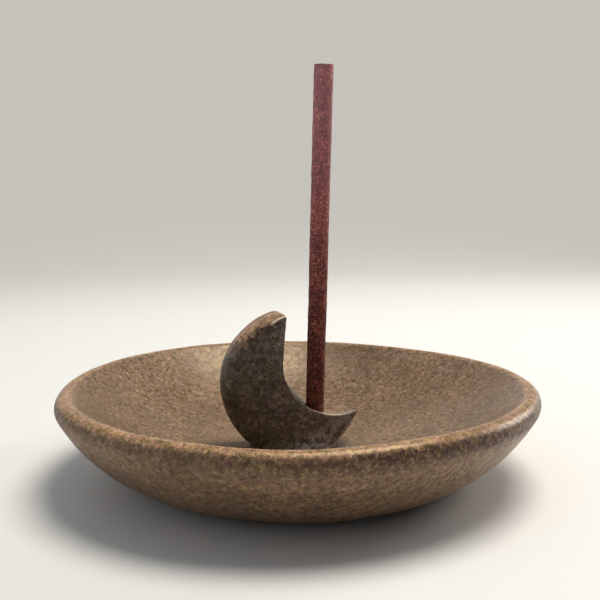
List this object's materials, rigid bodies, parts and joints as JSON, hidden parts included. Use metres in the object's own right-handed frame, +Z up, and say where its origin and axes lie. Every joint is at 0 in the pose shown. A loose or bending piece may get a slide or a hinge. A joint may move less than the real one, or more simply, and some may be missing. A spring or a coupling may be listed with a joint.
{
  "type": "incense stick holder",
  "caption": "Shallow round stoneware ash dish with an upright crescent moon fixed on its floor; a thick incense stick stands in a blind hole in the crescent's hollow.",
  "frame": {"origin": "centre of the dish's foot, on the table it stands on", "axes": "+Z up along the dish's axis; +X in the crescent's plane, from its round back towards its hollow; the crescent's front faces -Y"},
  "size_m": [0.114, 0.114, 0.0961],
  "materials": {
    "stoneware": "satin speckled brown stoneware, warmer along the lip",
    "stoneware_crescent": "satin speckled dark brown stoneware with paler worn edges",
    "joining_clay": "smoothed clay of the same stoneware, slightly greyer",
    "incense_paste": "matt pressed herb and wood powder, dark red with pale grains"
  },
  "bodies": {
    "holder": {"dish": "stoneware", "crescent_holder": "stoneware_crescent", "joining_coil": "joining_clay"},
    "stick": {"incense_stick": "incense_paste"}
  },
  "joints": [
    {"name": "stick_lift", "type": "slide", "parent": "holder", "child": "stick", "axis": [0.0174, -0.0784, 0.9968], "range_m": [0, 0.032]}
  ]
}
